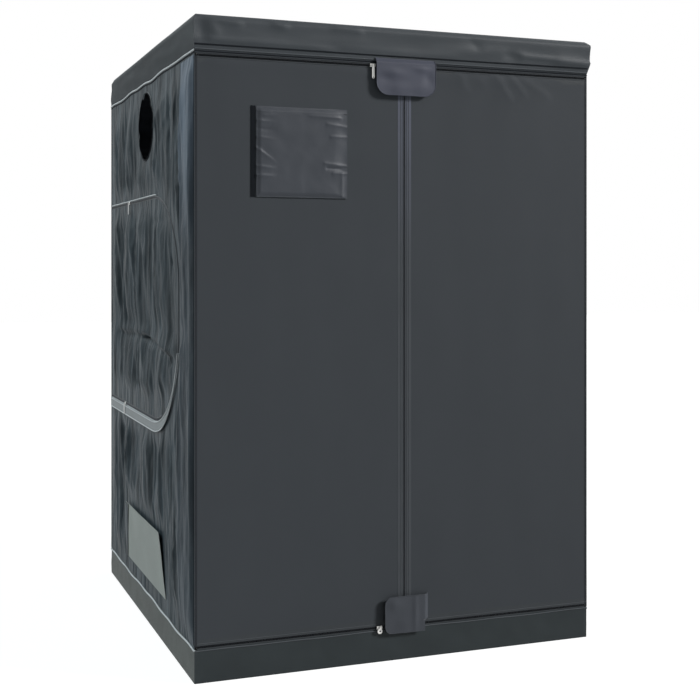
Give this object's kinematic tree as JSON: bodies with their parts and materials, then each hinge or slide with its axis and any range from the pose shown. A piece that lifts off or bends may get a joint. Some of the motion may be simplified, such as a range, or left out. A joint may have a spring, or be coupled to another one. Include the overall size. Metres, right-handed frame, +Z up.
{
  "type": "indoor grow tent",
  "caption": "Tall square fabric grow cabinet on a tube frame, with a zipped double front door, a zipped side door, a covered window, a duct port and a vent.",
  "frame": {"origin": "centre of the underside, on the surface that the tent stands on", "axes": "+Z up, -Y out of the double front door, -X out of the wall with the side door, the duct port and the vent"},
  "size_m": [1.2398, 1.2448, 1.8],
  "materials": {
    "canvas": "black woven canvas, matt, slightly blue",
    "flap_canvas": "black woven canvas with a lavender sheen",
    "pale_canvas": "grey-green coated canvas",
    "tarpaulin": "coated waterproof canvas",
    "zip_tape": "woven zip tape with a nylon coil",
    "net": "black woven net",
    "clear_film": "clear green-tinted film",
    "coated_steel": "white powder coat on steel tube",
    "black_plastic": "moulded black plastic",
    "zip_metal": "nickel-plated zip hardware"
  },
  "bodies": {
    "root": {"connector_bottom_front_left": "black_plastic", "connector_bottom_front_right": "black_plastic", "connector_bottom_rear_right": "black_plastic", "connector_bottom_rear_left": "black_plastic", "connector_top_front_left": "black_plastic", "connector_top_front_right": "black_plastic", "connector_top_rear_right": "black_plastic", "connector_top_rear_left": "black_plastic", "post_lower_front_left": "coated_steel", "post_lower_front_right": "coated_steel", "post_lower_rear_left": "coated_steel", "post_lower_rear_right": "coated_steel", "post_upper_front_left": "coated_steel", "post_upper_front_right": "coated_steel", "post_upper_rear_left": "coated_steel", "post_upper_rear_right": "coated_steel", "bottom_rail_front": "coated_steel", "bottom_rail_rear": "coated_steel", "bottom_rail_left": "coated_steel", "bottom_rail_right": "coated_steel", "top_rail_front": "coated_steel", "top_rail_rear": "coated_steel", "top_rail_left": "coated_steel", "top_rail_right": "coated_steel", "hanging_bar_front": "coated_steel", "hanging_bar_rear": "coated_steel", "floor_tub": "tarpaulin", "roof_cap": "canvas", "wall_left": "canvas", "wall_right": "canvas", "wall_back": "canvas", "header_zip": "zip_tape", "sill_zip": "zip_tape", "duct_sleeve": "canvas", "vent_mesh": "net"},
    "door_left": {"door_left": "canvas", "door_left_zip": "zip_tape", "window_film": "clear_film"},
    "door_right": {"door_right": "canvas", "door_right_zip": "zip_tape"},
    "side_door": {"side_door": "canvas", "side_door_zip": "zip_tape"},
    "window_flap": {"window_flap": "canvas"},
    "top_flap": {"top_flap": "flap_canvas"},
    "bottom_flap": {"bottom_flap": "canvas"},
    "vent_flap": {"vent_flap": "pale_canvas"},
    "centre_slider": {"centre_slider": "zip_metal"},
    "centre_pull": {"centre_pull": "zip_metal"},
    "top_left_slider": {"top_left_slider": "zip_metal"},
    "top_left_pull": {"top_left_pull": "zip_metal"},
    "top_right_slider": {"top_right_slider": "zip_metal"},
    "top_right_pull": {"top_right_pull": "zip_metal"},
    "bottom_left_slider": {"bottom_left_slider": "zip_metal"},
    "bottom_left_pull": {"bottom_left_pull": "zip_metal"},
    "bottom_right_slider": {"bottom_right_slider": "zip_metal"},
    "bottom_right_pull": {"bottom_right_pull": "zip_metal"},
    "side_top_slider": {"side_top_slider": "zip_metal"},
    "side_top_pull": {"side_top_pull": "zip_metal"},
    "side_bottom_slider": {"side_bottom_slider": "zip_metal"},
    "side_bottom_pull": {"side_bottom_pull": "zip_metal"}
  },
  "joints": [
    {"name": "door_left_hinge", "type": "hinge", "parent": "root", "child": "door_left", "pos_m": [-0.6085, -0.61, 0.9], "axis": [0, 0, -1], "range_deg": [0, 105]},
    {"name": "door_right_hinge", "type": "hinge", "parent": "root", "child": "door_right", "pos_m": [0.6085, -0.61, 0.9], "axis": [0, 0, 1], "range_deg": [0, 105]},
    {"name": "side_door_hinge", "type": "hinge", "parent": "root", "child": "side_door", "pos_m": [-0.61, 0.595, 1], "axis": [0, 0, -1], "range_deg": [0, 110]},
    {"name": "window_flap_hinge", "type": "hinge", "parent": "door_left", "child": "window_flap", "pos_m": [-0.3035, -0.6115, 1.56], "axis": [-1, 0, 0], "range_deg": [0, 160]},
    {"name": "top_flap_hinge", "type": "hinge", "parent": "root", "child": "top_flap", "pos_m": [0.008, -0.61328, 1.712], "axis": [-1, 0, 0], "range_deg": [0, 120]},
    {"name": "bottom_flap_hinge", "type": "hinge", "parent": "door_right", "child": "bottom_flap", "pos_m": [0.08, -0.6115, 0.1315], "axis": [0, 0, 1], "range_deg": [0, 130]},
    {"name": "vent_flap_hinge", "type": "hinge", "parent": "root", "child": "vent_flap", "pos_m": [-0.6115, 0.03, 0.137], "axis": [0, -1, 0], "range_deg": [0, 125]},
    {"name": "centre_zip", "type": "slide", "parent": "door_left", "child": "centre_slider", "axis": [0, 0, -1], "range_m": [0, 1.5]},
    {"name": "top_left_zip", "type": "slide", "parent": "root", "child": "top_left_slider", "axis": [-1, 0, 0], "range_m": [0, 0.45]},
    {"name": "top_right_zip", "type": "slide", "parent": "root", "child": "top_right_slider", "axis": [1, 0, 0], "range_m": [0, 0.49]},
    {"name": "bottom_left_zip", "type": "slide", "parent": "root", "child": "bottom_left_slider", "axis": [-1, 0, 0], "range_m": [0, 0.475]},
    {"name": "bottom_right_zip", "type": "slide", "parent": "root", "child": "bottom_right_slider", "axis": [1, 0, 0], "range_m": [0, 0.505]},
    {"name": "side_top_zip", "type": "slide", "parent": "root", "child": "side_top_slider", "axis": [0, -1, 0], "range_m": [-0.3, 0.34]},
    {"name": "side_bottom_zip", "type": "slide", "parent": "root", "child": "side_bottom_slider", "axis": [0, -1, 0], "range_m": [-0.23, 0.41]},
    {"name": "centre_pull_hinge", "type": "hinge", "parent": "centre_slider", "child": "centre_pull", "pos_m": [0.007, -0.6152, 1.6582], "axis": [0, 1, 0], "range_deg": [-45, 45]},
    {"name": "top_left_pull_hinge", "type": "hinge", "parent": "top_left_slider", "child": "top_left_pull", "pos_m": [-0.0925, -0.6171, 1.6895], "axis": [-1, 0, 0], "range_deg": [0, 150]},
    {"name": "top_right_pull_hinge", "type": "hinge", "parent": "top_right_slider", "child": "top_right_pull", "pos_m": [0.0598, -0.6152, 1.6895], "axis": [0, 1, 0], "range_deg": [-45, 45]},
    {"name": "bottom_left_pull_hinge", "type": "hinge", "parent": "bottom_left_slider", "child": "bottom_left_pull", "pos_m": [-0.072, -0.6171, 0.0981], "axis": [-1, 0, 0], "range_deg": [0, 150]},
    {"name": "bottom_right_pull_hinge", "type": "hinge", "parent": "bottom_right_slider", "child": "bottom_right_pull", "pos_m": [0.0478, -0.6152, 0.0981], "axis": [0, 1, 0], "range_deg": [-45, 45]},
    {"name": "side_top_pull_hinge", "type": "hinge", "parent": "side_top_slider", "child": "side_top_pull", "pos_m": [-0.6171, 0.258, 1.335], "axis": [0, 1, 0], "range_deg": [0, 150]},
    {"name": "side_bottom_pull_hinge", "type": "hinge", "parent": "side_bottom_slider", "child": "side_bottom_pull", "pos_m": [-0.6171, 0.33, 0.652], "axis": [0, 1, 0], "range_deg": [0, 150]}
  ]
}
